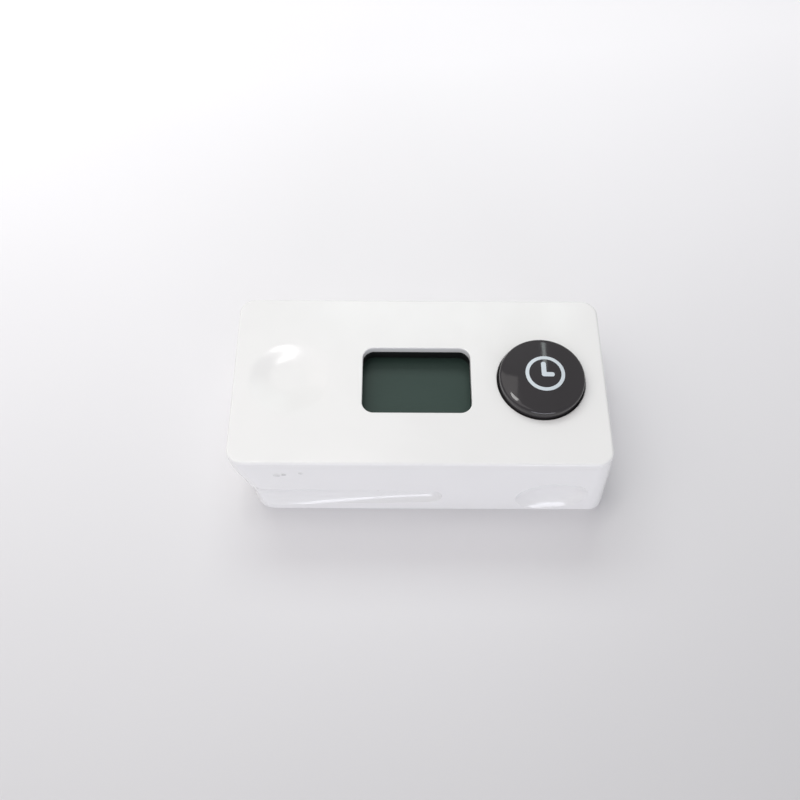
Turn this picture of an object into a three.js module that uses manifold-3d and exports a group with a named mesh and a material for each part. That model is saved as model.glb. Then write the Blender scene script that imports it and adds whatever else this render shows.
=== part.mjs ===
// A small battery-powered punch clock: a white two-piece case with a deep display window, one large round
// punch button and a shallow round dish in its face plate. Units are millimetres, +Z is up, -Y is the front.
// The case stands on its flat base. Its walls spread towards the base, and its left end is undercut, so that
// the clock slides left end first into a holder, whose rails run in the groove of each long wall.
import * as THREE from "three";
import { mergeVertices } from "three/addons/utils/BufferGeometryUtils.js";
import Module from "manifold-3d";

const wasm = await Module();
wasm.setup();

// ---------------------------------------------------------------------------------------------------------
// Driving dimensions

const CASE = {
  length: 80.7, // along X, at the face plate
  width: 40.8, // along Y, at the face plate
  height: 21,
  draft: 0.075, // how far each wall spreads per millimetre of drop
  corner: 3.5, // radius of the upright corners
  leftFoot: 5.1, // the same at the base of the left end
  wall: 1.8,
  floor: 2.6,
  plate: 1.7, // thickness of the face plate
};
const SEAM = 0.1; // gap between fixed neighbours
const SLIDE = 0.2; // gap between pieces that move past each other

const PLATE_Z = CASE.height - CASE.plate; // underside of the face plate

// The left end, as distance of its outer face from the case's centre at each height, from the top down.
const LEFT_END = [
  [21, 40.35],
  [18.4, 40.25],
  [15.5, 39.65],
  [12.7, 38.6],
  [9.9, 38.1],
  [7.8, 37.35],
  [4, 36.9],
  [0, 37.1],
];

const WINDOW = { x: -0.6, y: -0.35, length: 23.55, width: 15.95, corner: 2.5 };
const DISH = { x: -28.3, y: 0.15, radius: 9.25, depth: 0.9, slope: 6.4 };
const BUTTON = {
  x: 26.35,
  y: -0.35,
  hole: 9.6, // radius of the hole in the face plate
  wall: 9.25, // radius of the cap's upright wall
  edge: 8.7, // radius where the top face begins
  rise: 2.3, // height of that edge above the face plate
  crown: 0.6, // further rise to the middle of the top face
  flange: 10.5,
  travel: 1,
};

const SCREW_PLACES = [
  [-31, -15.2],
  [-31, 15.2],
  [35.8, -15.2],
  [35.8, 15.2],
];
const BOARD_SCREW_PLACES = [
  [-18.5, -14],
  [-18.5, 14],
  [15.5, -15],
  [15.5, 15],
];

const BOARD = { z: 12.6, thickness: 1, left: -34.5, right: 38.2, halfWidth: 17 };
const BOARD_TOP = BOARD.z + BOARD.thickness;

const CELL = { radius: 5.25, length: 44.5, nub: 1.9, nubLength: 0.9, spacing: 10.8, z: 7.05 };
const BAY = { left: -11.7, right: 37.7, halfWidth: 10.9, wall: 1.2, top: 11.8 };
const LID = {
  halfWidth: 11.4,
  tongue: 0.8, // how far the tongues stand out of the lid's long edges
  low: 0.15, // the lid sits this far above the base plane
  top: 1.65,
  tongueLow: 0.95,
  lip: 4.6, // height of the upstanding end
  lipThickness: 1.6,
};

// ---------------------------------------------------------------------------------------------------------
// Materials

const finish = (color, roughness, metalness = 0) =>
  new THREE.MeshStandardMaterial({ color, roughness, metalness });
const WHITE = finish(0xf0f0ee, 0.25);
const CHARCOAL = finish(0x2b2a2d, 0.15);
const BLACK = finish(0x101012, 0.6);
const FILM = finish(0x2c3833, 0.3);
const GLASS = finish(0xb8c4bd, 0.05);
const FOIL = finish(0xa7aaa6, 0.35, 0.8);
const RUBBER = finish(0x3a3a3c, 0.8);
const GREEN = finish(0x1f5a3c, 0.5);
const STEEL = finish(0xb9bbbe, 0.3, 1);
const COPPER = finish(0xb36a3a, 0.35, 1);
const JACKET = finish(0x3c4650, 0.4, 0.3);

// ---------------------------------------------------------------------------------------------------------
// Solids

function solid(geometry) {
  const bare = geometry.index ? geometry.toNonIndexed() : geometry.clone();
  bare.deleteAttribute("normal");
  bare.deleteAttribute("uv");
  const merged = mergeVertices(bare, 1e-4);
  return new wasm.Manifold(
    new wasm.Mesh({
      numProp: 3,
      vertProperties: merged.attributes.position.array,
      triVerts: new Uint32Array(merged.index.array),
    }),
  );
}

const joined = (...solids) => solids.reduce((a, b) => a.add(b));
const cut = (base, ...tools) => tools.reduce((a, b) => a.subtract(b), base);

function geometryOf(made) {
  const { vertProperties, triVerts } = made.getMesh();
  const geometry = new THREE.BufferGeometry();
  geometry.setAttribute("position", new THREE.BufferAttribute(vertProperties, 3));
  geometry.setIndex(new THREE.BufferAttribute(triVerts, 1));
  return geometry;
}

function block(x0, x1, y0, y1, z0, z1) {
  const box = new THREE.BoxGeometry(x1 - x0, y1 - y0, z1 - z0);
  return solid(box.translate((x0 + x1) / 2, (y0 + y1) / 2, (z0 + z1) / 2));
}

// An upright cylinder.
function rod(x, y, radius, z0, z1, sides = 24) {
  const cylinder = new THREE.CylinderGeometry(radius, radius, z1 - z0, sides);
  return solid(cylinder.rotateX(Math.PI / 2).translate(x, y, (z0 + z1) / 2));
}

// A solid of revolution about an upright axis. The profile holds [radius, height] pairs, from the bottom up.
function turned(profile, sides = 48) {
  const points = profile.map(([radius, height]) => new THREE.Vector2(radius, height));
  return new THREE.LatheGeometry(points, sides).rotateX(Math.PI / 2);
}

function roundedRectangle(x0, x1, y0, y1, radius) {
  const outline = new THREE.Shape();
  outline.moveTo(x0 + radius, y0);
  outline.absarc(x1 - radius, y0 + radius, radius, -Math.PI / 2, 0);
  outline.absarc(x1 - radius, y1 - radius, radius, 0, Math.PI / 2);
  outline.absarc(x0 + radius, y1 - radius, radius, Math.PI / 2, Math.PI);
  outline.absarc(x0 + radius, y0 + radius, radius, Math.PI, 1.5 * Math.PI);
  return outline;
}

function prism(outline, z0, z1, curveSegments = 6, steps = 1) {
  const options = { depth: z1 - z0, bevelEnabled: false, curveSegments, steps };
  return new THREE.ExtrudeGeometry(outline, options).translate(0, 0, z0);
}

// Moves every vertex of a geometry to where the rule sends it.
function reshaped(geometry, rule) {
  const position = geometry.attributes.position;
  const point = new THREE.Vector3();
  for (let i = 0; i < position.count; i++) {
    rule(point.fromBufferAttribute(position, i));
    position.setXYZ(i, point.x, point.y, point.z);
  }
  return geometry;
}

function mesh(name, shape, material) {
  const geometry = shape.isBufferGeometry ? shape : geometryOf(shape);
  const made = new THREE.Mesh(geometry, material);
  made.name = name;
  return made;
}

// ---------------------------------------------------------------------------------------------------------
// The case's outer form

const leftEnd = new THREE.SplineCurve(LEFT_END.map(([z, reach]) => new THREE.Vector2(z, reach)));
const leftSamples = leftEnd.getPoints(40);

// Distance of the left end's outer face from the centre, at height z.
function leftReach(z) {
  const after = leftSamples.findIndex((p) => p.x <= z);
  if (after <= 0) return after < 0 ? leftSamples.at(-1).y : leftSamples[0].y;
  const [a, b] = [leftSamples[after - 1], leftSamples[after]];
  return THREE.MathUtils.mapLinear(z, a.x, b.x, a.y, b.y);
}

const spread = (z) => CASE.draft * (CASE.height - z);

// Radius of the upright corners at height z.
function cornerRadius(z, atLeftEnd) {
  return atLeftEnd ? THREE.MathUtils.lerp(CASE.leftFoot, CASE.corner, Math.min(z / 13, 1)) : CASE.corner;
}

// The case's outer form between two heights, with every upright face moved inwards by inset.
function caseForm(inset, z0, z1, steps = 1) {
  const halfLength = CASE.length / 2;
  const halfWidth = CASE.width / 2;
  const radius = CASE.corner;
  const outline = roundedRectangle(-halfLength, halfLength, -halfWidth, halfWidth, radius);
  const form = reshaped(prism(outline, z0, z1, 6, steps), (p) => {
    const reach = (p.x < 0 ? leftReach(p.z) : halfLength + spread(p.z)) - inset;
    const side = halfWidth + spread(p.z) - inset;
    const turn = Math.max(cornerRadius(p.z, p.x < 0) - inset, 0.8);
    const alongX = (Math.abs(p.x) - halfLength) / radius; // -1 to 0 round a corner
    const alongY = (Math.abs(p.y) - halfWidth) / radius;
    p.x = Math.sign(p.x) * (reach + alongX * turn);
    p.y = Math.sign(p.y) * (side + alongY * turn);
  });
  return solid(form);
}

// How far a cutter's centre stays outside the wall, as a share of its reach: it gives a hollow a soft rim.
const STANDOFF = 0.5;
const rimShare = (standoff) => Math.sqrt(1 - standoff ** 2);

// A holder's rail groove in the front wall: round at its right end, and wider, shallower and softer towards the
// left end.
function railGroove() {
  const [right, left] = [2.5, -44];
  const length = right - left;
  const narrow = 2.7;
  const wide = 4.3;
  const bar = new THREE.CylinderGeometry(1, 1, length, 28, 8).rotateZ(Math.PI / 2);
  const nose = new THREE.SphereGeometry(1, 28, 14).translate(length / 2, 0, 0);
  const place = (p) => {
    const along = THREE.MathUtils.clamp((length / 2 - p.x) / length, 0, 1);
    const standoff = THREE.MathUtils.lerp(STANDOFF, 0.85, along ** 2);
    const depth = THREE.MathUtils.lerp(1.7, 0.4, along ** 2);
    const tall = THREE.MathUtils.lerp(narrow, wide, along) / rimShare(standoff);
    const middle = THREE.MathUtils.lerp(6.1, 5.5, along);
    if (p.x > length / 2) p.x = length / 2 + ((p.x - length / 2) * narrow) / rimShare(STANDOFF);
    p.x += (left + right) / 2;
    p.z = middle + p.z * tall;
    p.y = ((p.y - standoff) * depth) / (1 - standoff) - CASE.width / 2 - spread(p.z);
  };
  return joined(solid(reshaped(bar, place)), solid(reshaped(nose, place)));
}

// A thumb scoop in the front wall, oval and leaning, which runs out at the base.
function thumbScoop() {
  const reach = 2.1 / (1 - STANDOFF);
  const rim = rimShare(STANDOFF);
  const scoop = new THREE.SphereGeometry(1, 36, 16).translate(0, -STANDOFF, 0).scale(8 / rim, reach, 5.8 / rim);
  scoop.rotateY(-THREE.MathUtils.degToRad(17)).translate(29.2, 0, 6.5);
  return solid(
    reshaped(scoop, (p) => {
      p.y -= CASE.width / 2 + spread(p.z);
    }),
  );
}

const mirrored = (made) => joined(made, made.mirror([0, 1, 0]));

// ---------------------------------------------------------------------------------------------------------
// Case

function facePlate() {
  const plate = caseForm(0, PLATE_Z, CASE.height);
  const rimDrop = 1.2;
  const inside = CASE.wall + SEAM;
  const rim = cut(
    caseForm(inside, PLATE_Z - rimDrop, PLATE_Z),
    caseForm(inside + 1, PLATE_Z - rimDrop - 1, PLATE_Z + 1),
  );
  const window = WINDOW;
  const opening = roundedRectangle(
    window.x - window.length / 2,
    window.x + window.length / 2,
    window.y - window.width / 2,
    window.y + window.width / 2,
    window.corner,
  );
  const dishBack = rod(DISH.x, DISH.y, DISH.radius + 0.4, PLATE_Z - 0.9, PLATE_Z, 40);
  const posts = SCREW_PLACES.map(([x, y]) =>
    cut(rod(x, y, 2.2, 6, PLATE_Z, 20), rod(x, y, 1.05, 5, 14, 16)),
  );
  const boardPosts = BOARD_SCREW_PLACES.map(([x, y]) =>
    cut(rod(x, y, 1.7, BOARD_TOP + SEAM, PLATE_Z, 16), rod(x, y, 0.85, BOARD_TOP, 18, 12)),
  );
  return cut(
    joined(plate, rim, dishBack, buttonCollar(), ...posts, ...boardPosts),
    solid(prism(opening, PLATE_Z - 2, CASE.height + 1)),
    rod(BUTTON.x, BUTTON.y, BUTTON.hole, PLATE_Z - 3, CASE.height + 1, 64),
    dishTool(),
  );
}

// The guide under the face plate in which the button's flange slides.
function buttonCollar() {
  const inner = BUTTON.flange + SLIDE + 0.1;
  const keyHalf = 1.2 + SLIDE;
  return cut(
    rod(BUTTON.x, BUTTON.y, inner + 1, 15.4, PLATE_Z + 0.5, 48),
    rod(BUTTON.x, BUTTON.y, inner, 15, PLATE_Z, 48),
    block(BUTTON.x - keyHalf, BUTTON.x + keyHalf, BUTTON.y - 14, BUTTON.y + 14, 15, PLATE_Z),
  );
}

// What the dish removes: a flat floor that rises in a soft S to the rim.
function dishTool() {
  const { radius, depth, slope } = DISH;
  const side = [0, 1, 2, 3, 4, 5, 6].map((i) => {
    const t = i / 6;
    return [radius - slope * (1 - t), -depth * Math.cos((t * Math.PI) / 2) ** 1.5];
  });
  const profile = [[0, -depth], ...side.slice(0, -1), [radius, 0], [radius, 1], [0, 1]];
  return solid(turned(profile, 56).translate(DISH.x, DISH.y, CASE.height));
}

function bodyShell() {
  const top = PLATE_Z - SEAM;
  const pad = mirrored(
    joined(block(-40, 7.5, -25, -17.8, 0, 12), block(20, 42, -25, -17.6, 0, 12.3)),
  );
  const hollow = cut(caseForm(CASE.wall, CASE.floor, top + 1, 10), pad);
  const bay = cut(
    block(
      BAY.left - BAY.wall,
      BAY.right + BAY.wall,
      -BAY.halfWidth - BAY.wall,
      BAY.halfWidth + BAY.wall,
      2,
      BAY.top,
    ),
    block(BAY.left, BAY.right, -BAY.halfWidth, BAY.halfWidth, 1, BAY.top + 1),
  );
  const standoffs = SCREW_PLACES.map(([x, y]) => rod(x, y, 2.7, 2, 5.9, 20));
  const screwHoles = SCREW_PLACES.map(([x, y]) =>
    joined(rod(x, y, 2.1, -1, 2.4, 24), rod(x, y, 1.3, 2, 7, 16)),
  );
  return cut(
    joined(cut(caseForm(0, 0, top, 9), hollow), bay, ...standoffs),
    mirrored(railGroove()),
    mirrored(thumbScoop()),
    lidOpening(),
    ...screwHoles,
  );
}

// What the battery lid's opening removes from the floor and from the right end.
function lidOpening() {
  const half = LID.halfWidth + LID.tongue + SLIDE;
  const low = LID.halfWidth + SLIDE;
  const lipX = rightEnd(2) - LID.lipThickness - SLIDE;
  return joined(
    block(BAY.left, 50, -low, low, -1, LID.top + SLIDE),
    block(BAY.left, 50, -half, half, LID.tongueLow - SLIDE, LID.top + SLIDE),
    block(BAY.left, BAY.right, -BAY.halfWidth, BAY.halfWidth, 0, CASE.floor + 1),
    block(lipX, 50, -half, half, -1, LID.lip + SLIDE),
  );
}

const rightEnd = (z) => CASE.length / 2 + spread(z);

function batteryLid() {
  const left = BAY.left + SLIDE;
  const half = LID.halfWidth + LID.tongue;
  const lipX = rightEnd(2) - LID.lipThickness;
  const blank = joined(
    block(left, 50, -LID.halfWidth, LID.halfWidth, LID.low, LID.top),
    block(left, 50, -half, half, LID.tongueLow, LID.top),
    block(lipX, 50, -half, half, LID.low, LID.lip),
  );
  const ridges = [0, 1, 2, 3, 4].map((i) =>
    block(29 + 1.8 * i, 29.9 + 1.8 * i, -6 + 0.6 * i, 6 - 0.6 * i, -1, LID.low + 0.45),
  );
  return cut(blank.intersect(caseForm(0, 0, 10, 8)), ...ridges);
}

// A pan-head screw with its point up and a cross recess in its head.
function screw(headRadius, headHeight, radius, length) {
  const profile = [
    [0, 0],
    [headRadius * 0.8, 0],
    [headRadius, headHeight * 0.35],
    [headRadius, headHeight],
    [radius, headHeight],
    [radius, headHeight + length - radius],
    [0, headHeight + length],
  ];
  const arm = headRadius * 0.62;
  const half = headRadius * 0.14;
  return cut(
    solid(turned(profile, 14)),
    block(-arm, arm, -half, half, -1, headHeight * 0.6),
    block(-half, half, -arm, arm, -1, headHeight * 0.6),
  );
}

function caseScrews() {
  return SCREW_PLACES.map(([x, y], i) => {
    const made = mesh(`case_screw_${i + 1}`, screw(1.9, 1.5, 0.95, 10.5), STEEL);
    made.position.set(x, y, 0.8);
    return made;
  });
}

// ---------------------------------------------------------------------------------------------------------
// Display

const DISPLAY = { surface: 16.6, film: 0.25, glass: 0.9, length: 26.8, width: 20 };

function displayFrame() {
  const { x, y } = WINDOW;
  const pocket = [DISPLAY.length / 2 + 0.2, DISPLAY.width / 2 + 0.2];
  const outer = [pocket[0] + 0.8, pocket[1] + 0.8];
  const clear = 0.1;
  const opening = roundedRectangle(
    x - WINDOW.length / 2 - clear,
    x + WINDOW.length / 2 + clear,
    y - WINDOW.width / 2 - clear,
    y + WINDOW.width / 2 + clear,
    WINDOW.corner + clear,
  );
  return cut(
    block(x - outer[0], x + outer[0], y - outer[1], y + outer[1], BOARD_TOP + SEAM, PLATE_Z - SEAM),
    solid(prism(opening, BOARD_TOP, CASE.height)),
    block(x - pocket[0], x + pocket[0], y - pocket[1], y + pocket[1], BOARD_TOP, DISPLAY.surface + SEAM),
  );
}

function displayStack() {
  const { x, y } = WINDOW;
  const { surface, film, glass, length, width } = DISPLAY;
  const ledge = 2.6; // the front glass overhangs the rear one, to meet the contact strip
  const layer = (name, top, thickness, margin, back, material) =>
    mesh(
      name,
      block(
        x - length / 2 + margin,
        x + length / 2 - margin,
        y - width / 2 + margin,
        y + width / 2 - back,
        top - thickness,
        top,
      ),
      material,
    );
  const rear = surface - film - glass - 2 * SEAM;
  return [
    layer("display_polariser", surface, film, 0.6, 0.6, FILM),
    layer("display_front_glass", surface - film - SEAM, glass, 0, 0, GLASS),
    layer("display_rear_glass", rear, glass, 0, ledge, GLASS),
    layer("display_reflector", rear - glass - SEAM, film, 0.6, ledge + 0.6, FOIL),
    mesh(
      "display_contact_strip",
      block(
        x - length / 2 + 1,
        x + length / 2 - 1,
        y + width / 2 - 2.1,
        y + width / 2 - 0.3,
        BOARD_TOP + SEAM,
        surface - film - glass - 2 * SEAM,
      ),
      RUBBER,
    ),
  ];
}

// ---------------------------------------------------------------------------------------------------------
// Punch button

const SWITCH_TOP = BOARD_TOP + 3;
const POST_FOOT = SWITCH_TOP + 1.4;

function buttonCap() {
  const top = CASE.height + BUTTON.rise;
  const crown = [4, 3, 2, 1].map((i) => {
    const t = i / 4;
    return [BUTTON.edge * t, top + BUTTON.crown * (1 - t * t)];
  });
  const shoulder = [0, 1, 2, 3].map((i) => {
    const angle = (i / 3) * (Math.PI / 2);
    const radius = BUTTON.wall - BUTTON.edge;
    return [BUTTON.edge + radius * Math.cos(angle), top - radius * (1 - Math.sin(angle))];
  });
  const flangeTop = PLATE_Z - SLIDE;
  const flangeFoot = flangeTop - 1.2;
  const profile = [
    [0, POST_FOOT],
    [1.7, POST_FOOT],
    [1.7, 21.7],
    [7.7, 21.7],
    [7.7, flangeFoot],
    [BUTTON.flange, flangeFoot],
    [BUTTON.flange, flangeTop],
    [BUTTON.wall, flangeTop],
    ...shoulder,
    ...crown.slice(1),
    [0, top + BUTTON.crown],
  ];
  const keys = cut(
    block(-1.2, 1.2, -11.6, 11.6, flangeFoot, flangeTop),
    rod(0, 0, BUTTON.flange - 1, 0, 30, 32),
  );
  return joined(solid(turned(profile, 56)), keys).translate([BUTTON.x, BUTTON.y, 0]);
}

// A helical path about the Z axis, whose radius may change from its foot to its head.
class Helix extends THREE.Curve {
  constructor(foot, head, height, turns) {
    super();
    Object.assign(this, { foot, head, height, turns });
  }
  getPoint(t, target = new THREE.Vector3()) {
    const angle = 2 * Math.PI * this.turns * t;
    const radius = THREE.MathUtils.lerp(this.foot, this.head, t);
    return target.set(radius * Math.cos(angle), radius * Math.sin(angle), this.height * t);
  }
}

function coil(foot, head, height, turns, wire) {
  const section = new THREE.Shape().absarc(0, 0, wire, 0, 2 * Math.PI);
  return new THREE.ExtrudeGeometry(section, {
    extrudePath: new Helix(foot, head, height, turns),
    steps: Math.round(turns * 11),
    curveSegments: 5,
  });
}

function punchButton() {
  const { x, y } = BUTTON;
  const wire = 0.3;
  const springFoot = BOARD_TOP + SEAM + wire;
  const springHead = 21.7 - SEAM - wire;
  const spring = coil(5.3, 5.3, springHead - springFoot, 4.5, wire);
  const stemFoot = SWITCH_TOP - 0.5;
  const well = rod(0, 0, 1.6 + SLIDE, stemFoot - BUTTON.travel - SLIDE, SWITCH_TOP + 1, 20);
  const body = cut(block(-3, 3, -3, 3, BOARD_TOP + SEAM, SWITCH_TOP), well);
  const stem = rod(x, y, 1.6, stemFoot, POST_FOOT - SEAM, 20);
  return [
    mesh("button_cap", buttonCap(), CHARCOAL),
    mesh("button_spring", spring.translate(x, y, springFoot), STEEL),
    mesh("switch_body", body.translate([x, y, 0]), BLACK),
    mesh("switch_stem", stem, RUBBER),
  ];
}

// ---------------------------------------------------------------------------------------------------------
// Electronics

function circuitBoard() {
  const { left, right, halfWidth } = BOARD;
  const notch = 4.6; // how far the board stays back from the case's corners, at the screw posts
  const inner = halfWidth - notch;
  const leftNotch = SCREW_PLACES[0][0] + 2.7;
  const rightNotch = SCREW_PLACES[2][0] - 2.7;
  const outline = new THREE.Shape();
  outline.moveTo(left, -inner).lineTo(leftNotch, -inner).lineTo(leftNotch, -halfWidth);
  outline.lineTo(rightNotch, -halfWidth).lineTo(rightNotch, -inner).lineTo(right, -inner);
  outline.lineTo(right, inner).lineTo(rightNotch, inner).lineTo(rightNotch, halfWidth);
  outline.lineTo(leftNotch, halfWidth).lineTo(leftNotch, inner).lineTo(left, inner);
  const holes = BOARD_SCREW_PLACES.map(([x, y]) => rod(x, y, 1.15, BOARD.z - 1, BOARD_TOP + 1, 16));
  return cut(solid(prism(outline, BOARD.z, BOARD_TOP)), ...holes);
}

function boardScrews() {
  return BOARD_SCREW_PLACES.map(([x, y], i) => {
    const made = mesh(`board_screw_${i + 1}`, screw(1.8, 1.1, 0.75, 4.6), STEEL);
    made.position.set(x, y, BOARD.z - SEAM - 1.1);
    return made;
  });
}

// A flat chip under the board, with a row of legs along each long side.
function chip(x, y, length, width, legs) {
  const top = BOARD.z - SEAM;
  const pitch = length / (legs + 1);
  const rows = Array.from({ length: legs }, (_, i) => {
    const legX = x - length / 2 + pitch * (i + 1);
    const reach = width / 2 + 0.9;
    return block(legX - 0.2, legX + 0.2, y - reach, y + reach, top - 0.4, top);
  });
  return joined(
    block(x - length / 2, x + length / 2, y - width / 2, y + width / 2, top - 1.4, top - 0.1),
    ...rows,
  );
}

function boardParts() {
  const top = BOARD.z - SEAM;
  const crystal = new THREE.CapsuleGeometry(1.5, 5, 4, 16).rotateZ(Math.PI / 2);
  const capacitor = turned(
    [
      [0, 5],
      [2.6, 5],
      [3.1, 5.4],
      [3.1, top - 0.9],
      [2.8, top - 0.6],
      [3.1, top - 0.3],
      [3.1, top],
      [0, top],
    ],
    24,
  );
  const coilTop = PLATE_Z - 0.9 - SEAM;
  return [
    mesh("microcontroller", chip(-22, 0, 9, 7, 8), BLACK),
    mesh("memory_chip", chip(-22, 9.5, 5, 4, 4), BLACK),
    mesh("watch_crystal", crystal.translate(-22.5, -8.5, top - 1.5), STEEL),
    mesh("backup_capacitor", capacitor.translate(-30.5, -4, 0), BLACK),
    mesh(
      "reader_coil",
      cut(
        rod(DISH.x, DISH.y, 8.4, coilTop - 1, coilTop, 40),
        rod(DISH.x, DISH.y, 6.2, coilTop - 2, coilTop + 1, 40),
      ),
      COPPER,
    ),
  ];
}

// ---------------------------------------------------------------------------------------------------------
// Batteries

// A cell lying along X with its positive nub towards +X and its flat end at x = 0.
function cell() {
  const { radius, length, nub, nubLength } = CELL;
  const profile = [
    [0, 0.2],
    [3.6, 0.2],
    [3.8, 0],
    [radius - 0.5, 0],
    [radius, 0.5],
    [radius, length - nubLength - 0.6],
    [radius - 0.6, length - nubLength],
    [nub, length - nubLength],
    [nub, length - 0.2],
    [nub - 0.3, length],
    [0, length],
  ];
  return turned(profile, 22).rotateY(Math.PI / 2);
}

function batteries() {
  const plate = 0.4;
  const gap = SLIDE;
  const front = -CELL.spacing / 2;
  const back = CELL.spacing / 2;
  const leftFace = BAY.left + gap + plate;
  const rightFace = BAY.right - gap - plate;
  const low = 3;
  const high = 11.4;
  const frontCell = mesh("battery_front", cell(), JACKET);
  frontCell.position.set(rightFace - SEAM - CELL.length, front, CELL.z);
  const backCell = mesh("battery_back", cell(), JACKET);
  backCell.rotation.z = Math.PI;
  backCell.position.set(leftFace + SEAM + CELL.length, back, CELL.z);
  const wire = 0.3;
  const springLength = BAY.right - BAY.left - 2 * (gap + plate) - CELL.length - 3 * SEAM - 2 * wire;
  const spring = () => coil(3.7, 2.3, springLength, 3, wire).rotateY(Math.PI / 2);
  const leftSpring = mesh("battery_spring_front", spring(), STEEL);
  leftSpring.position.set(leftFace + SEAM + wire, front, CELL.z);
  const rightSpring = mesh("battery_spring_back", spring(), STEEL);
  rightSpring.rotation.z = Math.PI;
  rightSpring.position.set(rightFace - SEAM - wire, back, CELL.z);
  const strip = (x, y0, y1) => block(x, x + plate, y0, y1, low, high);
  const tab = (y) => block(rightFace, rightFace + plate, y - 1, y + 1, high - 1, BOARD.z - SEAM);
  return [
    frontCell,
    backCell,
    leftSpring,
    rightSpring,
    mesh("contact_link", strip(leftFace - plate, -9.8, 9.8), STEEL),
    mesh("contact_positive", joined(strip(rightFace, -9.8, -1), tab(front)), STEEL),
    mesh("contact_negative", joined(strip(rightFace, 1, 9.8), tab(back)), STEEL),
  ];
}

// ---------------------------------------------------------------------------------------------------------
// Assembly

const clock = new THREE.Group();
clock.add(
  mesh("face_plate", facePlate(), WHITE),
  mesh("body_shell", bodyShell(), WHITE),
  mesh("battery_lid", batteryLid(), WHITE),
  ...caseScrews(),
  mesh("display_frame", displayFrame(), BLACK),
  ...displayStack(),
  ...punchButton(),
  mesh("circuit_board", circuitBoard(), GREEN),
  ...boardScrews(),
  ...boardParts(),
  ...batteries(),
);

// The right end reaches further at the base than the left end does at the face plate, so the clock is moved
// along X until its origin is at the middle of its length.
clock.position.x = (leftReach(CASE.height) - rightEnd(0)) / 2;

export default clock;
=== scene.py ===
"""Finishes a small punch time clock around its frame: shells, button, display, fastenings and stage."""
import math

import bmesh
import bpy
from mathutils import Matrix, Vector


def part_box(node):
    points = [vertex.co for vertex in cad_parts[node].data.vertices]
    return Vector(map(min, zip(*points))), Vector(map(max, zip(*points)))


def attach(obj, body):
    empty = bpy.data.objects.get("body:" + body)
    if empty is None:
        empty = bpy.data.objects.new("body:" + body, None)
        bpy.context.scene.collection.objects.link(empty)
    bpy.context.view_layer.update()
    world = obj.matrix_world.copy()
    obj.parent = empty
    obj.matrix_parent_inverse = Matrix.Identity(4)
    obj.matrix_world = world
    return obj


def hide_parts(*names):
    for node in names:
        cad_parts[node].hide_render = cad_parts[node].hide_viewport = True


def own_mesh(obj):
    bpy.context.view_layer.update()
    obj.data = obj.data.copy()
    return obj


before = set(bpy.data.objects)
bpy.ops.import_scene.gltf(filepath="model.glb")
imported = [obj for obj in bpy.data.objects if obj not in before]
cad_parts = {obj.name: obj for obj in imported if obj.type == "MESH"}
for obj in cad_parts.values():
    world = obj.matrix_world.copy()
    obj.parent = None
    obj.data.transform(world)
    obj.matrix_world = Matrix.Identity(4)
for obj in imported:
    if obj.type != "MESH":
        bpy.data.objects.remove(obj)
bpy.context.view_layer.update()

bl_info = {
    "name": "Punch clock finishing",
    "version": (1, 0, 0),
    "blender": (4, 5, 0),
    "location": "View3D > Sidebar > Punch clock",
    "description": "Builds the visible pieces and finishes of a small punch clock",
    "category": "Object",
}

MM = 0.001
SAME = 0.01 * MM  # points closer than this lie at the same level


def middle(node):
    low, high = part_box(node)
    return (low + high) / 2


# ---------------------------------------------------------------------------------------------------------
# Properties


def length_property(name, description, default):
    return bpy.props.FloatProperty(
        name=name, description=description, default=default * MM, min=0, unit="LENGTH", precision=5
    )


def color_property(name, description, default):
    return bpy.props.FloatVectorProperty(
        name=name, description=description, default=default, size=3, min=0, max=1, subtype="COLOR"
    )


class ShellSettings(bpy.types.PropertyGroup):
    color: color_property("Shell colour", "Colour of the white shells", (0.86, 0.855, 0.845))
    edge: length_property("Outer edge", "Rounding of the face plate's outer edge", 0.6)
    rim: length_property("Rim", "Rounding of the window's and the button hole's rims", 0.22)
    crease: length_property("Crease", "Rounding of the creases round the grooves and scoops", 0.25)


class ButtonSettings(bpy.types.PropertyGroup):
    color: color_property("Button colour", "Colour of the punch button", (0.032, 0.029, 0.031))
    print_color: color_property("Print colour", "Colour of the printed clock sign", (0.62, 0.68, 0.72))
    dome: length_property("Dome", "Rise of the top face from its edge to its middle", 0.6)
    shoulder: length_property("Shoulder", "Rounding between the wall and the top face", 0.85)
    ring_radius: length_property("Ring radius", "Outer radius of the printed ring", 4.24)
    stroke: length_property("Ring stroke", "Width of the printed ring", 0.78)
    hand_width: length_property("Hand width", "Width of the printed clock hands", 1.05)


class DisplaySettings(bpy.types.PropertyGroup):
    color: color_property("Display colour", "Colour of the blank display", (0.036, 0.062, 0.052))


class StageSettings(bpy.types.PropertyGroup):
    floor_color: color_property("Floor colour", "Colour of the pale floor", (0.83, 0.82, 0.835))
    lens: bpy.props.FloatProperty(
        name="Lens", description="Focal length of the camera", default=39.6, unit="CAMERA"
    )
    tilt: bpy.props.FloatProperty(
        name="Tilt", description="How far the camera looks down", subtype="ANGLE",
        default=math.radians(62.05),
    )
    heading: bpy.props.FloatProperty(
        name="Heading", description="How far the camera turns right", subtype="ANGLE",
        default=math.radians(0.91),
    )
    roll: bpy.props.FloatProperty(
        name="Roll", description="How far the camera is rolled", subtype="ANGLE",
        default=math.radians(1.10),
    )
    camera_place: bpy.props.FloatVectorProperty(
        name="Camera place", description="Where the camera stands", subtype="TRANSLATION", size=3,
        default=(-0.00641, -0.09351, 0.18714),
    )


# ---------------------------------------------------------------------------------------------------------
# Modelling helpers


def deselect():
    if bpy.context.mode != "OBJECT":
        bpy.ops.object.mode_set(mode="OBJECT")
    bpy.ops.object.select_all(action="DESELECT")


def take(piece):
    """Makes a piece the only selected and active object."""
    deselect()
    piece.select_set(True)
    bpy.context.view_layer.objects.active = piece


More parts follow.
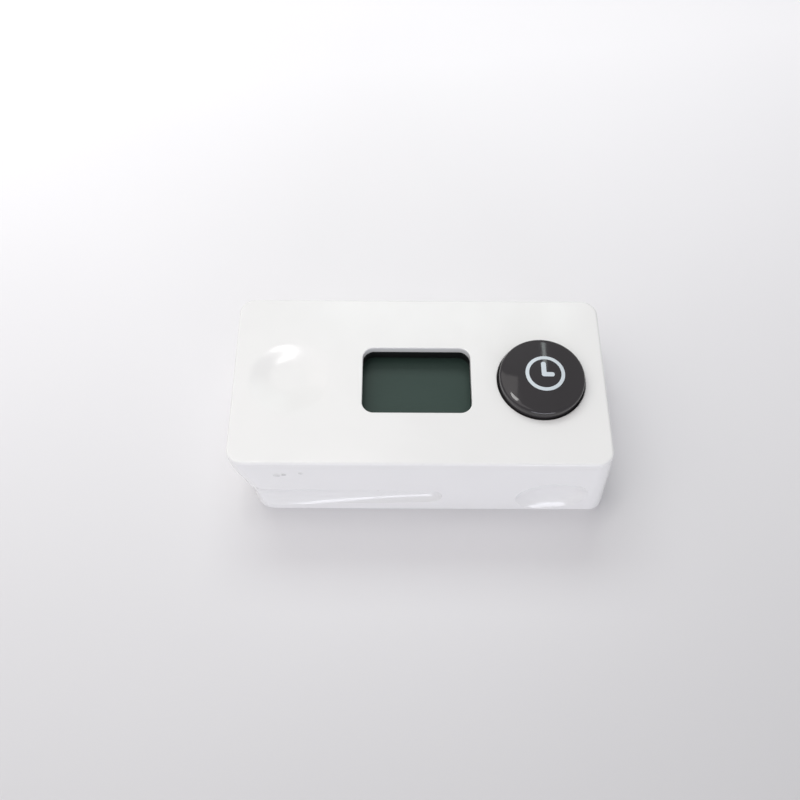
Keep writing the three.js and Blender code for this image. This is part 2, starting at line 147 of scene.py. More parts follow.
def named(name):
    """Names the object that was just added."""
    piece = bpy.context.object
    piece.name = name
    piece.data.name = name
    return piece


def apply_place(piece):
    take(piece)
    bpy.ops.object.transform_apply(location=True, rotation=True, scale=True)


def edit(piece, mode="VERT"):
    take(piece)
    bpy.ops.object.mode_set(mode="EDIT")
    bpy.ops.mesh.select_mode(type=mode)
    bpy.ops.mesh.select_all(action="DESELECT")


def done():
    bpy.ops.object.mode_set(mode="OBJECT")


def pick_edges(piece, wanted):
    """Selects the edges that the rule accepts, and leaves edit mode on."""
    edit(piece, "EDGE")
    mesh = bmesh.from_edit_mesh(piece.data)
    for edge in mesh.edges:
        if wanted(edge):
            edge.select_set(True)
    bmesh.update_edit_mesh(piece.data)


def edge_middle(edge):
    return (edge.verts[0].co + edge.verts[1].co) / 2


def is_sharp(edge, angle):
    """Whether an edge joins two faces that turn by more than an angle, in degrees."""
    return len(edge.link_faces) == 2 and edge.calc_face_angle() > math.radians(angle)


def round_picked_edges(width, segments, slide=True):
    bpy.ops.mesh.bevel(
        offset=width, segments=segments, profile=0.5, affect="EDGES", clamp_overlap=True, loop_slide=slide
    )
    done()


def tidy_copy(node, name):
    """A copy of a CAD node as one clean mesh of flat faces."""
    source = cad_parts[node]
    deselect()
    piece = source.copy()
    piece.data = source.data.copy()
    piece.parent = None
    piece.matrix_world = Matrix.Identity(4)
    bpy.context.scene.collection.objects.link(piece)
    piece.name = name
    piece.data.name = name
    piece.data.materials.clear()
    take(piece)
    bpy.ops.mesh.customdata_custom_splitnormals_clear()
    edit(piece)
    bpy.ops.mesh.select_all(action="SELECT")
    bpy.ops.mesh.remove_doubles(threshold=2e-6)
    bpy.ops.mesh.dissolve_limited(angle_limit=math.radians(0.4))
    done()
    return piece


def smooth(piece, angle=32):
    take(piece)
    bpy.ops.object.shade_smooth_by_angle(angle=math.radians(angle))


def weigh_normals(piece):
    take(piece)
    weighted = piece.modifiers.new("even_faces", "WEIGHTED_NORMAL")
    weighted.mode = "FACE_AREA"
    weighted.weight = 60
    weighted.keep_sharp = True
    bpy.ops.object.modifier_apply(modifier=weighted.name)


def turned(name, centre, profile, sides=96):
    """A turned piece of rings given as (radius, height) in millimetres, closed at both ends."""
    deselect()
    radius, height = profile[0]
    start = Vector(centre) + Vector((0, 0, height * MM))
    bpy.ops.mesh.primitive_circle_add(vertices=sides, radius=radius * MM, fill_type="NOTHING", location=start)
    piece = named(name)
    apply_place(piece)
    edit(piece)
    bpy.ops.mesh.select_all(action="SELECT")
    for next_radius, next_height in profile[1:]:
        bpy.ops.mesh.extrude_region_move(
            TRANSFORM_OT_translate={"value": (0, 0, (next_height - height) * MM)}
        )
        growth = next_radius / radius
        bpy.ops.transform.resize(value=(growth, growth, 1), center_override=centre)
        radius, height = next_radius, next_height
    bpy.ops.mesh.edge_face_add()
    bpy.ops.mesh.select_all(action="DESELECT")
    bpy.ops.mesh.select_non_manifold()
    bpy.ops.mesh.edge_face_add()
    bpy.ops.mesh.select_all(action="SELECT")
    bpy.ops.mesh.normals_make_consistent(inside=False)
    done()
    return piece


def arc(centre_radius, centre_height, radius, start, end, steps):
    """Points of (radius, height) on a quarter or other part of a circle. The angles are in degrees."""
    points = []
    for i in range(steps + 1):
        angle = math.radians(start + (end - start) * i / steps)
        points.append((centre_radius + radius * math.cos(angle), centre_height + radius * math.sin(angle)))
    return points


def cut_with(piece, cutter):
    """Takes one solid out of another, and removes the cutter."""
    take(piece)
    difference = piece.modifiers.new("cut", "BOOLEAN")
    difference.operation = "DIFFERENCE"
    difference.solver = "EXACT"
    difference.object = cutter
    bpy.ops.object.modifier_apply(modifier=difference.name)
    bpy.data.objects.remove(cutter)


def box_solid(name, low, high):
    deselect()
    low, high = Vector(low), Vector(high)
    bpy.ops.mesh.primitive_cube_add(size=1, location=(low + high) / 2, scale=high - low)
    piece = named(name)
    apply_place(piece)
    return piece


def place_piece(piece, body, slot, *nodes, material=None):
    """Gives a finished piece its body and its material, and hides the CAD nodes that it stands for. The slot
    is not used.
    """
    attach(piece, body)
    if nodes:
        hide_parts(*nodes)
    if material:
        piece.data.materials.clear()
        piece.data.materials.append(material)


# ---------------------------------------------------------------------------------------------------------
# Finishes


class Recipe:
    """A material under construction: adds nodes, links and set values in one call each."""

    def __init__(self, name):
        self.material = bpy.data.materials.new(name)
        self.material.use_nodes = True
        self.tree = self.material.node_tree
        self.shader = self.tree.nodes["Principled BSDF"]
        self.coordinates = self.add("ShaderNodeTexCoord").outputs["Object"]

    def add(self, kind, settings=None, **inputs):
        node = self.tree.nodes.new(kind)
        for key, value in (settings or {}).items():
            setattr(node, key, value)
        for key, value in inputs.items():
            self.feed(node.inputs[key.replace("_", " ")], value)
        return node

    def feed(self, socket, value):
        if isinstance(value, bpy.types.NodeSocket):
            self.tree.links.new(value, socket)
        else:
            socket.default_value = value

    def shade(self, **inputs):
        for key, value in inputs.items():
            self.feed(self.shader.inputs[key.replace("_", " ")], value)

    def noise(self, scale, detail=2.0, roughness=0.5, vector=None):
        vector = vector or self.coordinates
        return self.add(
            "ShaderNodeTexNoise", Vector=vector, Scale=scale, Detail=detail, Roughness=roughness
        ).outputs["Fac"]

    def remap(self, value, low, high, from_low=0.3, from_high=0.7):
        made = self.add("ShaderNodeMapRange", Value=value)
        made.inputs["From Min"].default_value = from_low
        made.inputs["From Max"].default_value = from_high
        made.inputs["To Min"].default_value = low
        made.inputs["To Max"].default_value = high
        return made.outputs["Result"]

    def blend(self, factor, first, second, how="MIX"):
        made = self.add("ShaderNodeMix", {"data_type": "RGBA", "blend_type": how})
        self.feed(made.inputs["Factor"], factor)
        self.feed(made.inputs["A"], first)
        self.feed(made.inputs["B"], second)
        return made.outputs["Result"]

    def calculate(self, how, first, second=0.0):
        made = self.add("ShaderNodeMath", {"operation": how})
        self.feed(made.inputs[0], first)
        self.feed(made.inputs[1], second)
        return made.outputs["Value"]

    def relief(self, height, depth, strength=1.0, normal=None):
        made = self.add("ShaderNodeBump", Height=height, Distance=depth, Strength=strength)
        if normal:
            self.feed(made.inputs["Normal"], normal)
        return made.outputs["Normal"]


def paint(color, share=1.0):
    return (*[min(channel * share, 1) for channel in color], 1)


def moulded_plastic(name, color, roughness, grain=0.004, patches=0.03):
    """Moulded plastic: slightly patchy in colour and gloss, with a shallow orange-peel surface."""
    recipe = Recipe(name)
    patch = recipe.noise(90, 3)
    tint = recipe.blend(recipe.remap(patch, 0, 1), paint(color, 1 - patches), paint(color, 1 + patches))
    gloss = recipe.remap(recipe.noise(260, 3), roughness * 0.8, roughness * 1.25)
    peel = recipe.relief(recipe.noise(900, 2), grain * MM)
    recipe.shade(Base_Color=tint, Roughness=gloss, Normal=peel)
    return recipe


KNOCKS = ((-30.9, 4.9, 1.0), (-29.4, 4.7, 0.7), (-25.8, 4.1, 0.6))  # x, drop below the top, size; all in mm


def white_shell_plastic(color):
    """The shells' white plastic, with sparse dust specks and small knocks on the front wall."""
    recipe = moulded_plastic("white_shell_plastic", color, 0.14, grain=0.003, patches=0.006)
    clean = recipe.shader.inputs["Base Color"].links[0].from_socket
    peel = recipe.shader.inputs["Normal"].links[0].from_socket
    speck = recipe.add("ShaderNodeTexVoronoi", Vector=recipe.coordinates, Scale=210.0)
    near = recipe.remap(speck.outputs["Distance"], 1, 0, 0.035, 0.06)
    lottery = recipe.add("ShaderNodeSeparateColor", Color=speck.outputs["Color"]).outputs["Red"]
    rare = recipe.calculate("GREATER_THAN", lottery, 0.93)
    dust = recipe.calculate("MULTIPLY", recipe.calculate("MULTIPLY", near, rare), 0.35)
    recipe.shade(Base_Color=recipe.blend(dust, clean, paint((0.45, 0.43, 0.4))), IOR=1.5)
    dusty = recipe.shader.inputs["Base Color"].links[0].from_socket
    front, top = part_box("body_shell")[0].y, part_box("face_plate")[1].z
    knocks = None
    for x, drop, size in KNOCKS:
        spot = recipe.add("ShaderNodeVectorMath", {"operation": "DISTANCE"})
        recipe.feed(spot.inputs[0], recipe.coordinates)
        spot.inputs[1].default_value = (x * MM, front + 1.2 * MM, top - drop * MM)
        dent = recipe.remap(spot.outputs["Value"], 1, 0, 0.2 * size * MM, 0.9 * size * MM)
        knocks = recipe.calculate("ADD", knocks, dent) if knocks else dent
    ragged = recipe.calculate("MULTIPLY", knocks, recipe.remap(recipe.noise(1500, 2), 0.3, 1))
    # The knocks are painted a darker grey, ragged at their edges, over the dented relief.
    knock_darkening = recipe.blend(recipe.calculate("MULTIPLY", ragged, 0.45), dusty, paint((0.5, 0.49, 0.47)))
    recipe.shade(Base_Color=knock_darkening, Normal=recipe.relief(ragged, 0.3 * MM, 1.0, peel))
    return recipe.material


def glossy_button_plastic(color):
    recipe = moulded_plastic("glossy_button_plastic", color, 0.13, grain=0.0015, patches=0.05)
    haze = recipe.remap(recipe.noise(1400, 4, 0.7), 0.05, 0.09, 0.35, 0.75)
    recipe.shade(Roughness=haze, IOR=1.5)
    return recipe.material


def sign_ink(color):
    """Printed ink: even, with a slightly ragged density."""
    recipe = moulded_plastic("sign_ink", color, 0.35, grain=0.002, patches=0.04)
    return recipe.material


def blank_display_film(color):
    """The display's polarising film: dark, smooth, with a faint fibre grain and a painted shade towards its
    far edge.
    """
    recipe = Recipe("blank_display_film")
    low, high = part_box("display_polariser")
    # Painted shade: the film darkens towards its far edge, standing in for the shadow of the window's far
    # wall.
    depth = recipe.add("ShaderNodeSeparateXYZ", Vector=recipe.coordinates).outputs["Y"]
    far = recipe.remap(depth, 0, 1, low.y, high.y)
    stretched = recipe.add("ShaderNodeMapping", Vector=recipe.coordinates)
    stretched.inputs["Scale"].default_value = (1, 14, 1)
    fibre = recipe.remap(recipe.noise(700, 2, vector=stretched.outputs["Vector"]), 0, 1)
    mottled = recipe.blend(fibre, paint(color, 0.94), paint(color, 1.06))
    recipe.shade(
        Base_Color=recipe.blend(far, mottled, paint(color, 0.86)),
        Roughness=recipe.remap(recipe.noise(300), 0.28, 0.36),
        Specular_IOR_Level=0.2,
        IOR=1.48,
    )
    return recipe.material


def drawn_metal(name, color, roughness, scratch_scale=(1, 1, 12)):
    """Drawn or plated metal with fine lines and uneven gloss."""
    recipe = Recipe(name)
    stretched = recipe.add("ShaderNodeMapping", Vector=recipe.coordinates)
    stretched.inputs["Scale"].default_value = scratch_scale
    lines = recipe.noise(1100, 3, vector=stretched.outputs["Vector"])
    recipe.shade(
        Base_Color=recipe.blend(recipe.remap(lines, 0, 1), paint(color, 0.9), paint(color, 1.08)),
        Roughness=recipe.remap(lines, roughness * 0.7, roughness * 1.3),
        Normal=recipe.relief(lines, 0.004 * MM),
        Metallic=1.0,
    )
    return recipe.material


def board_laminate():
    """Green solder resist over copper tracks."""
    recipe = Recipe("board_laminate")
    tracks = recipe.add("ShaderNodeTexBrick", Vector=recipe.coordinates, Scale=180.0)
    tracks.inputs["Mortar Size"].default_value = 0.03
    pattern = tracks.outputs["Fac"]
    weave = recipe.remap(recipe.noise(900, 2), 0, 1)
    resist = recipe.blend(weave, paint((0.012, 0.1, 0.05)), paint((0.02, 0.13, 0.065)))
    recipe.shade(
        Base_Color=recipe.blend(pattern, resist, paint((0.05, 0.2, 0.09))),
        Roughness=recipe.remap(recipe.noise(400), 0.25, 0.4),
        Normal=recipe.relief(pattern, 0.03 * MM, 0.6),
    )
    return recipe.material


def display_glass():
    recipe = Recipe("display_glass")
    patch = recipe.remap(recipe.noise(200), 0, 1)
    recipe.shade(
        Base_Color=recipe.blend(patch, paint((0.66, 0.74, 0.7)), paint((0.74, 0.8, 0.77))),
        Roughness=recipe.remap(recipe.noise(500), 0.04, 0.08),
        Alpha=0.45,
        IOR=1.5,
    )
    return recipe.material


def cell_jacket():
    """A printed cell jacket in two plain colours, with bare metal at both ends."""
    recipe = Recipe("cell_jacket")
    low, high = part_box("battery_front")
    along = recipe.add("ShaderNodeSeparateXYZ", Vector=recipe.coordinates).outputs["X"]
    wear = recipe.noise(500, 3)
    bare_start, bare_end, first_color = 0.9 * MM, 1.9 * MM, 31 * MM
    inside = recipe.calculate(
        "MULTIPLY",
        recipe.calculate("GREATER_THAN", along, low.x + bare_start),
        recipe.calculate("LESS_THAN", along, high.x - bare_end),
    )
    band = recipe.calculate("GREATER_THAN", along, low.x + first_color)
    jacket = recipe.blend(band, paint((0.035, 0.045, 0.06)), paint((0.42, 0.2, 0.07)))
    worn = recipe.blend(recipe.remap(wear, 0, 0.25), jacket, paint((0.5, 0.5, 0.5)))
    recipe.shade(
        Base_Color=recipe.blend(inside, paint((0.7, 0.7, 0.69)), worn),
        Roughness=recipe.remap(wear, 0.25, 0.4),
        Metallic=recipe.remap(inside, 1, 0.4, 0, 1),
    )
    return recipe.material


def dress_nodes(material, *nodes):
    """Gives CAD nodes that stay as they are their finish."""
    for node in nodes:
        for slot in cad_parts[node].material_slots:
            slot.material = material


# ---------------------------------------------------------------------------------------------------------
# Pieces


class PUNCHCLOCK_OT_shells(bpy.types.Operator):
    """Rounds the edges of the face plate and the body shell"""

    bl_idname = "punchclock.shells"
    bl_label = "Shells"

    def execute(self, context):
        settings = context.scene.punchclock_shells
        white = white_shell_plastic(settings.color)
        self.face_plate(settings, white)
        self.body_shell(settings, white)
        self.battery_lid(settings, white)
        return {"FINISHED"}

    def face_plate(self, settings, white):
        plate = tidy_copy("face_plate", "face_plate_shell")
        low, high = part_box("face_plate")
        button = middle("button_cap")
        screen = middle("display_frame")

        hole_reach, window_reach = 10.2 * MM, (12.5 * MM, 9 * MM)

        def top_edge(edge):
            return is_sharp(edge, 40) and all(abs(v.co.z - high.z) < SAME for v in edge.verts)

        def opening(edge):
            centre = edge_middle(edge)
            away = centre - screen
            window = abs(away.x) < window_reach[0] and abs(away.y) < window_reach[1]
            return window or (centre - button).to_2d().length < hole_reach

        pick_edges(plate, lambda edge: top_edge(edge) and opening(edge))
        round_picked_edges(settings.rim, 3, slide=False)
        pick_edges(plate, lambda edge: top_edge(edge) and not opening(edge))
        round_picked_edges(settings.edge, 5, slide=False)
        self.refill_top(plate, high.z)
        self.close_seam(plate, low, high)
        smooth(plate)
        weigh_normals(plate)
        place_piece(plate, "case", "case_plastic", "face_plate", material=white)

    def refill_top(self, plate, top):
        """Replaces the flat top by a fresh fill between its outline, the openings and the dish."""
        flat, upright = 0.003 * MM, 0.999
        edit(plate, "FACE")
        mesh = bmesh.from_edit_mesh(plate.data)
        for face in mesh.faces:
            level = all(abs(v.co.z - top) < flat for v in face.verts)
            face.select_set(level and face.normal.z > upright)
        bmesh.update_edit_mesh(plate.data)
        bpy.ops.mesh.delete(type="ONLY_FACE")
        bpy.ops.mesh.select_all(action="SELECT")
        bpy.ops.mesh.delete_loose(use_verts=False, use_edges=True, use_faces=False)
        bpy.ops.mesh.select_mode(type="EDGE")
        bpy.ops.mesh.select_all(action="DESELECT")
        bpy.ops.mesh.select_non_manifold(
            extend=False, use_wire=False, use_boundary=True, use_multi_face=False,
            use_non_contiguous=False, use_verts=False,
        )
        bpy.ops.mesh.fill(use_beauty=True)
        bpy.ops.mesh.select_all(action="SELECT")
        bpy.ops.mesh.normals_make_consistent(inside=False)
        bpy.ops.mesh.select_all(action="DESELECT")
        bpy.ops.mesh.select_non_manifold(extend=False)
        mesh = bmesh.from_edit_mesh(plate.data)
        if any(edge.select for edge in mesh.edges):
            raise RuntimeError("The face plate's top is not closed")
        done()

    def close_seam(self, plate, low, high):
        """Lowers the plate's outer bottom edge until only a hair-wide seam is left above the body shell."""
        cad_gap, kept_gap, rim_width = 0.1 * MM, 0.025 * MM, 1.3 * MM
        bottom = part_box("body_shell")[1].z + cad_gap
        edit(plate)
        mesh = bmesh.from_edit_mesh(plate.data)
        for vertex in mesh.verts:
            p = vertex.co
            outside = min(p.x - low.x, high.x - p.x, p.y - low.y, high.y - p.y) < rim_width
            if abs(p.z - bottom) < SAME and outside:
                vertex.select_set(True)
        bmesh.update_edit_mesh(plate.data)
        bpy.ops.transform.translate(value=(0, 0, kept_gap - cad_gap))
        done()

    def body_shell(self, settings, white):
        shell = tidy_copy("body_shell", "body_shell_tub")
        foot_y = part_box("body_shell")[1].y
        lean = 0.075  # how far the walls spread per unit of drop
        near_wall, lowest, highest = 0.06 * MM, 0.1 * MM, 18 * MM

        def on_side_wall(edge):
            centre = edge_middle(edge)
            wall = foot_y - lean * centre.z
            return abs(abs(centre.y) - wall) < near_wall and lowest < centre.z < highest

        pick_edges(shell, lambda edge: is_sharp(edge, 24) and on_side_wall(edge))
        round_picked_edges(settings.crease, 2)
        smooth(shell)
        weigh_normals(shell)
        place_piece(shell, "case", "case_plastic", "body_shell", material=white)

    def battery_lid(self, settings, white):
        lid = tidy_copy("battery_lid", "battery_lid_cover")
        pick_edges(lid, lambda edge: is_sharp(edge, 40))
        round_picked_edges(0.1 * MM, 2)
        smooth(lid)
        weigh_normals(lid)
        place_piece(lid, "lid", "case_plastic", "battery_lid", material=white)


class PUNCHCLOCK_OT_button(bpy.types.Operator):
    """Turns the punch button and lays the printed clock sign on its dome"""

    bl_idname = "punchclock.button"
    bl_label = "Punch button"

    def execute(self, context):
        settings = context.scene.punchclock_button
        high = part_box("button_cap")[1]
        centre = middle("button_cap")
        base = (centre.x, centre.y, 0)
        wall, flange, bore, post = 9.25, 10.5, 7.7, 1.7
        post_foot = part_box("switch_stem")[1].z / MM + 0.1  # stands clear of the switch stem
        peak = high.z / MM - 0.03  # leaves room for the printed sign
        plate_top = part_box("face_plate")[1].z / MM
        ceiling = plate_top + 0.7
        flange_top = plate_top - 1.9
        flange_foot = flange_top - 1.2
        shoulder = settings.shoulder / MM
        edge = wall - shoulder
        edge_height = peak - settings.dome / MM
        crown = [
            (edge * t, edge_height + settings.dome / MM * (1 - t * t))
            for t in (0.94, 0.86, 0.76, 0.64, 0.5, 0.34, 0.17, 0.02)
        ]
        profile = [
            (0.4, post_foot),
            (post, post_foot),
            (post, ceiling),
            (bore, ceiling),
            (bore, flange_foot),
            (flange, flange_foot),
            (flange, flange_top),
            (wall + 0.08, flange_top),
            (wall + 0.02, plate_top + 0.6),
            *arc(edge, edge_height - shoulder, shoulder, 0, 82, 7),
            *crown,
        ]
        button = turned("punch_button", base, profile, sides=128)
        smooth(button, 35)
        gloss = glossy_button_plastic(settings.color)
        place_piece(button, "button", "button_plastic", "button_cap", material=gloss)
        self.sign(settings, button, centre, high.z)
        return {"FINISHED"}

    def sign(self, settings, button, centre, peak):
        ink = sign_ink(settings.print_color)
        hub = Vector((centre.x, centre.y, peak)) + Vector((0.5, 0.2, 1)) * MM
        hand_height, hand_length = 3.1 * MM, 2.25 * MM
        outer = settings.ring_radius
        deselect()
        bpy.ops.mesh.primitive_circle_add(vertices=96, radius=outer, fill_type="NOTHING", location=hub)
        ring = named("clock_sign_ring")
        apply_place(ring)
        edit(ring)
        bpy.ops.mesh.select_all(action="SELECT")
        radius = outer
        for step in range(1, 4):
            inner = outer - settings.stroke * step / 3
            bpy.ops.mesh.extrude_region_move()
            bpy.ops.transform.resize(value=(inner / radius, inner / radius, 1), center_override=hub)
            radius = inner
        done()
        self.lay_on(ring, button, ink)

        corner = hub + Vector((-0.26, -0.3, 0)) * MM
        half = settings.hand_width / 2
        deselect()
        bpy.ops.mesh.primitive_plane_add(size=2 * half, location=corner)
        hands = named("clock_sign_hands")
        apply_place(hands)
        self.stretch(hands, lambda p: p.y > corner.y, (0, hand_height - half, 0))
        self.stretch(
            hands, lambda p: p.x > corner.x and p.y < corner.y + 2 * half, (hand_length - half, 0, 0)
        )
        self.round_ends(hands, corner, half)
        self.lay_on(hands, button, ink)

    def stretch(self, piece, wanted, step):
        """Extrudes the one edge whose two ends the rule accepts."""
        edit(piece, "EDGE")
        done()
        for edge in piece.data.edges:
            edge.select = all(wanted(piece.data.vertices[i].co) for i in edge.vertices)
        bpy.ops.object.mode_set(mode="EDIT")
        bpy.ops.mesh.extrude_region_move(TRANSFORM_OT_translate={"value": step})
        done()

    def round_ends(self, piece, corner, half):
        edit(piece)
        done()
        points = [v.co for v in piece.data.vertices]
        far_y = max(p.y for p in points)
        far_x = max(p.x for p in points)
        for vertex in piece.data.vertices:
            p = vertex.co
            at_tip = abs(p.y - far_y) < 1e-6 or abs(p.x - far_x) < 1e-6
            at_foot = (p - corner).to_2d().length < 2 * half and p.x < corner.x and p.y < corner.y
            vertex.select = at_tip or at_foot
        bpy.ops.object.mode_set(mode="EDIT")
        bpy.ops.mesh.bevel(offset=half * 0.96, segments=6, profile=0.5, affect="VERTICES", clamp_overlap=True)
        bpy.ops.mesh.select_all(action="SELECT")
        bpy.ops.mesh.quads_convert_to_tris()
        bpy.ops.mesh.subdivide(number_cuts=2)
        done()

    def lay_on(self, piece, button, ink):
        """Drops a flat outline onto the dome and gives it the thickness of a printed film."""
        take(piece)
        drop = piece.modifiers.new("drop", "SHRINKWRAP")
        drop.target = button
        drop.wrap_method = "PROJECT"
        drop.use_project_z = True
        drop.use_negative_direction = True
        drop.use_positive_direction = False
        drop.offset = 0.015 * MM
        bpy.ops.object.modifier_apply(modifier=drop.name)
        edit(piece)
        bpy.ops.mesh.select_all(action="SELECT")
        bpy.ops.mesh.normals_make_consistent(inside=False)
        done()
        if piece.data.polygons[0].normal.z < 0:
            piece.data.flip_normals()
        film = piece.modifiers.new("film", "SOLIDIFY")
        film.thickness = 0.03 * MM
        film.offset = -1
        bpy.ops.object.modifier_apply(modifier=film.name)
        smooth(piece, 30)
        place_piece(piece, "button", "button_plastic", material=ink)


SCREWS = (  # node's name, how many, head radius, head height, shank radius; all in mm
    ("case_screw", 4, 1.9, 1.5, 0.95),
    ("board_screw", 4, 1.8, 1.1, 0.75),
)


class PUNCHCLOCK_OT_fastenings(bpy.types.Operator):
    """Turns the screws and cuts their cross recesses"""

    bl_idname = "punchclock.fastenings"
    bl_label = "Screws"

    def execute(self, context):
        plated = drawn_metal("plated_screw_steel", (0.56, 0.56, 0.57), 0.3, (1, 1, 1))
        for kind, count, head, height, shank in SCREWS:
            for number in range(1, count + 1):
                self.screw(f"{kind}_{number}", head, height, shank, plated)
        return {"FINISHED"}

    def screw(self, node, head, height, shank, plated):
        low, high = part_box(node)
        centre = middle(node)
        base = (centre.x, centre.y, low.z)
        length = (high.z - low.z) / MM
        profile = [
            (0.3, 0),
            (head * 0.62, 0),
            (head * 0.82, height * 0.1),
            (head * 0.95, height * 0.36),
            (head, height * 0.7),
            (head, height),
            (shank, height),
        ]
        pitch, neck, root = 0.7, 0.15, shank * 0.8
        turns = int((length - height - shank) / pitch)
        for turn in range(turns):
            foot = height + neck + turn * pitch
            profile += [(root, foot + pitch * 0.2), (shank, foot + pitch * 0.55), (root, foot + pitch * 0.9)]
        profile += [(root, length - shank), (0.1, length)]
        piece = turned(f"{node}_turned", base, profile, sides=32)
        arm, half = head * 0.62 * MM, head * 0.13 * MM
        outside = Vector((centre.x, centre.y, low.z - MM))
        bottom = Vector((centre.x, centre.y, low.z + height * 0.6 * MM))
        for x, y in ((arm, half), (half, arm)):
            corner = Vector((x, y, 0))
            cut_with(piece, box_solid("recess", outside - corner, bottom + corner))
        smooth(piece, 35)
        place_piece(piece, "case", "screw_steel", node, material=plated)


class PUNCHCLOCK_OT_spring(bpy.types.Operator):
    """Makes the coil spring under the button"""

    bl_idname = "punchclock.spring"
    bl_label = "Button spring"

    def execute(self, context):
        piece = tidy_copy("button_spring", "coiled_button_spring")
        smooth(piece, 40)
        wire = drawn_metal("coiled_wire", (0.6, 0.6, 0.59), 0.28)
        place_piece(piece, "case", "spring_steel", "button_spring", material=wire)
        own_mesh(piece)
        return {"FINISHED"}


class PUNCHCLOCK_OT_insides(bpy.types.Operator):
    """Gives the display, the board, the cells and the other inner nodes their finishes"""

    bl_idname = "punchclock.insides"
    bl_label = "Display and insides"

    def execute(self, context):
        display = context.scene.punchclock_display
        black = moulded_plastic("matt_black_plastic", (0.012, 0.012, 0.013), 0.5, 0.01, 0.1).material
        chip = moulded_plastic("chip_package", (0.022, 0.022, 0.024), 0.55, 0.012, 0.1).material
        rubber = moulded_plastic("striped_rubber", (0.04, 0.04, 0.042), 0.75, 0.01, 0.15).material
        plunger = moulded_plastic("plunger_plastic", (0.35, 0.05, 0.04), 0.4, 0.006, 0.05).material
        sleeve = moulded_plastic("capacitor_sleeve", (0.025, 0.03, 0.055), 0.35, 0.006, 0.08).material
        spring = drawn_metal("spring_wire", (0.6, 0.6, 0.59), 0.28)
        plate = drawn_metal("nickel_plate", (0.66, 0.65, 0.61), 0.25, (1, 1, 8))
        copper = drawn_metal("wound_copper", (0.62, 0.28, 0.12), 0.3, (1, 1, 25))
        foil = drawn_metal("reflector_foil", (0.62, 0.63, 0.6), 0.4, (6, 1, 1))
        dress_nodes(blank_display_film(display.color), "display_polariser")
        dress_nodes(black, "display_frame", "switch_body")
        dress_nodes(display_glass(), "display_front_glass", "display_rear_glass")
        dress_nodes(foil, "display_reflector")
        dress_nodes(rubber, "display_contact_strip")
        dress_nodes(board_laminate(), "circuit_board")
        dress_nodes(chip, "microcontroller", "memory_chip")
        dress_nodes(plunger, "switch_stem")
        dress_nodes(sleeve, "backup_capacitor")
        dress_nodes(spring, "battery_spring_front", "battery_spring_back", "watch_crystal")
        dress_nodes(plate, "contact_link", "contact_positive", "contact_negative")
        dress_nodes(copper, "reader_coil")
        dress_nodes(cell_jacket(), "battery_front", "battery_back")
        return {"FINISHED"}


# ---------------------------------------------------------------------------------------------------------
# Stage


def area_light(name, place, aim, size, power, color):
    deselect()
    bpy.ops.object.light_add(type="AREA", location=place)
    lamp = bpy.context.object
    lamp.name = name
    lamp.rotation_euler = (Vector(aim) - Vector(place)).to_track_quat("-Z", "Y").to_euler()
    lamp.data.shape = "RECTANGLE"
    lamp.data.size, lamp.data.size_y = size
    lamp.data.energy = power
    lamp.data.color = color
    return lamp


FLOOR_SIZE = 6
SENSOR_WIDTH = 36  # in millimetres, as the lens is
LIGHTS = (  # name, place, aim, size in metres, power in watts, colour
    ("window_light", (-0.15, 0.5, 0.6), (-0.15, 0, 0), (0.62, 0.25), 1.8, (0.955, 1, 0.985)),
    ("window_pane", (0.03, 0.5, 0.6), (0.03, 0, 0), (0.3, 0.25), 0.87, (0.9, 1, 0.98)),
    ("ceiling_light", (-0.32, 0.03, 0.5), (0, 0, 0), (0.7, 0.7), 1.4, (1, 0.965, 0.94)),
    ("strip_light", (-0.1, 0.1, 0.6), (0, 0, 0), (0.22, 0.06), 0.32, (1, 0.99, 0.98)),
    ("front_light", (0.1, -0.9, 0.13), (0, 0, 0.01), (0.8, 0.2), 3.0, (0.89, 0.9, 1)),
)


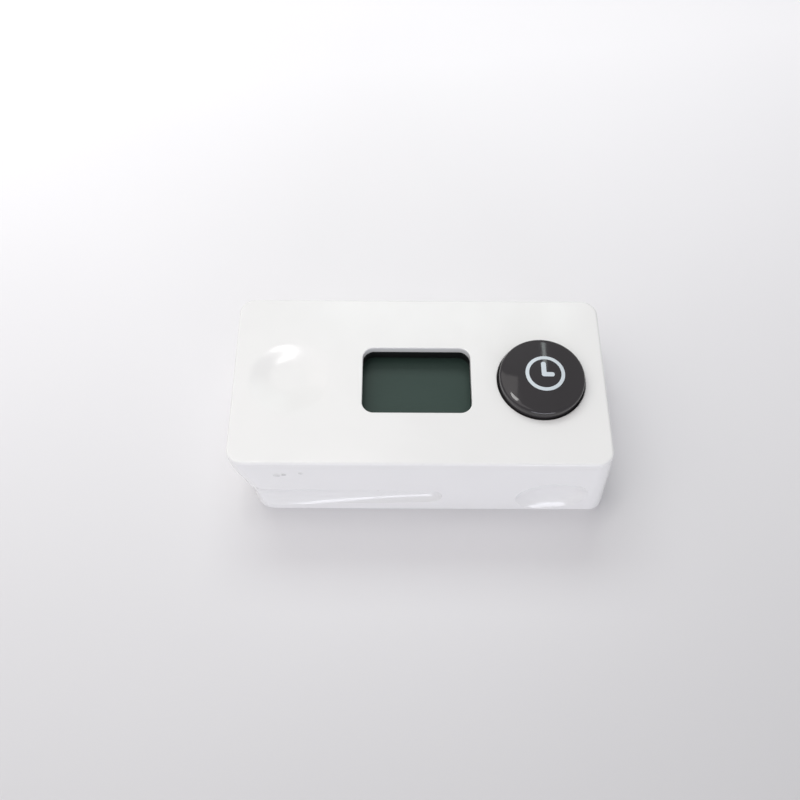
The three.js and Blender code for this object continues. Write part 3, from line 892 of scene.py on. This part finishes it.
class PUNCHCLOCK_OT_stage(bpy.types.Operator):
    """Adds the floor, the lights and the camera"""

    bl_idname = "punchclock.stage"
    bl_label = "Stage"

    def execute(self, context):
        settings = context.scene.punchclock_stage
        deselect()
        bpy.ops.mesh.primitive_plane_add(size=FLOOR_SIZE, location=(0, 0, 0))
        floor = named("floor")
        floor.data.materials.append(self.floor_with_painted_shade(settings.floor_color))

        world = bpy.data.worlds.new("room")
        world.use_nodes = True
        background = world.node_tree.nodes["Background"]
        background.inputs["Color"].default_value = (0.97, 0.97, 1.0, 1)
        background.inputs["Strength"].default_value = 0.45
        context.scene.world = world
        context.scene.view_settings.view_transform = "Standard"

        lamps = {row[0]: area_light(*row) for row in LIGHTS}
        lamps["window_light"].visible_glossy = False
        lamps["window_pane"].visible_diffuse = False

        bpy.ops.object.camera_add(location=settings.camera_place)
        camera = named("camera")
        turn = (
            Matrix.Rotation(-settings.heading, 3, "Z")
            @ Matrix.Rotation(math.pi / 2 - settings.tilt, 3, "X")
            @ Matrix.Rotation(settings.roll, 3, "Z")
        )
        camera.rotation_euler = turn.to_euler()
        camera.data.lens = settings.lens
        camera.data.sensor_width = SENSOR_WIDTH
        camera.data.clip_start = MM
        context.scene.camera = camera
        return {"FINISHED"}

    def floor_with_painted_shade(self, color):
        """Smooth pale card with painted shade: darker towards the front and the right, in place of the
        light's fall-off.
        """
        recipe = Recipe("pale_card_painted_shade")
        split = recipe.add("ShaderNodeSeparateXYZ", Vector=recipe.coordinates)
        # Painted shade: the card's colour darkens towards the front and the right instead of the lamps
        # darkening it.
        slant, reach = -0.15, 0.12
        sideways = recipe.calculate("MULTIPLY", split.outputs["X"], slant)
        shade = recipe.remap(recipe.calculate("ADD", split.outputs["Y"], sideways), 0, 1, -reach, reach)
        mottle = recipe.remap(recipe.noise(6, 2), 0.985, 1.015)
        painted_shade_tone = recipe.blend(shade, paint(color, 0.73), paint(color, 1.19))
        recipe.shade(
            Base_Color=recipe.blend(1.0, painted_shade_tone, self.grey(recipe, mottle), "MULTIPLY"),
            Roughness=0.55,
            Normal=recipe.relief(recipe.noise(1200, 2), 0.01 * MM, 0.5),
        )
        return recipe.material

    def grey(self, recipe, value):
        made = recipe.add("ShaderNodeCombineColor", Red=value, Green=value, Blue=value)
        return made.outputs["Color"]


class PUNCHCLOCK_PT_panel(bpy.types.Panel):
    """Lists the clock's sizes, colours and building steps"""

    bl_idname = "PUNCHCLOCK_PT_panel"
    bl_label = "Punch clock"
    bl_space_type = "VIEW_3D"
    bl_region_type = "UI"
    bl_category = "Punch clock"

    def draw(self, context):
        for settings, operators in STEPS:
            group = getattr(context.scene, settings) if settings else None
            box = self.layout.box()
            for prop in group.bl_rna.properties if group else ():
                if not prop.is_readonly and prop.identifier != "name":
                    box.prop(group, prop.identifier)
            for operator in operators:
                box.operator(operator)


STEPS = (
    ("punchclock_shells", ("punchclock.shells",)),
    ("punchclock_button", ("punchclock.button",)),
    (None, ("punchclock.spring", "punchclock.fastenings")),
    ("punchclock_display", ("punchclock.insides",)),
    ("punchclock_stage", ("punchclock.stage",)),
)
SETTINGS = {
    "punchclock_shells": ShellSettings,
    "punchclock_button": ButtonSettings,
    "punchclock_display": DisplaySettings,
    "punchclock_stage": StageSettings,
}
CLASSES = (
    *SETTINGS.values(),
    PUNCHCLOCK_OT_shells,
    PUNCHCLOCK_OT_button,
    PUNCHCLOCK_OT_spring,
    PUNCHCLOCK_OT_fastenings,
    PUNCHCLOCK_OT_insides,
    PUNCHCLOCK_OT_stage,
    PUNCHCLOCK_PT_panel,
)


def register():
    for cls in CLASSES:
        bpy.utils.register_class(cls)
    for name, cls in SETTINGS.items():
        setattr(bpy.types.Scene, name, bpy.props.PointerProperty(type=cls))


def unregister():
    for name in SETTINGS:
        delattr(bpy.types.Scene, name)
    for cls in reversed(CLASSES):
        bpy.utils.unregister_class(cls)


def main():
    register()
    bpy.ops.punchclock.shells()
    bpy.ops.punchclock.button()
    bpy.ops.punchclock.spring()
    bpy.ops.punchclock.fastenings()
    bpy.ops.punchclock.insides()
    bpy.ops.punchclock.stage()


if __name__ == "__main__":
    main()
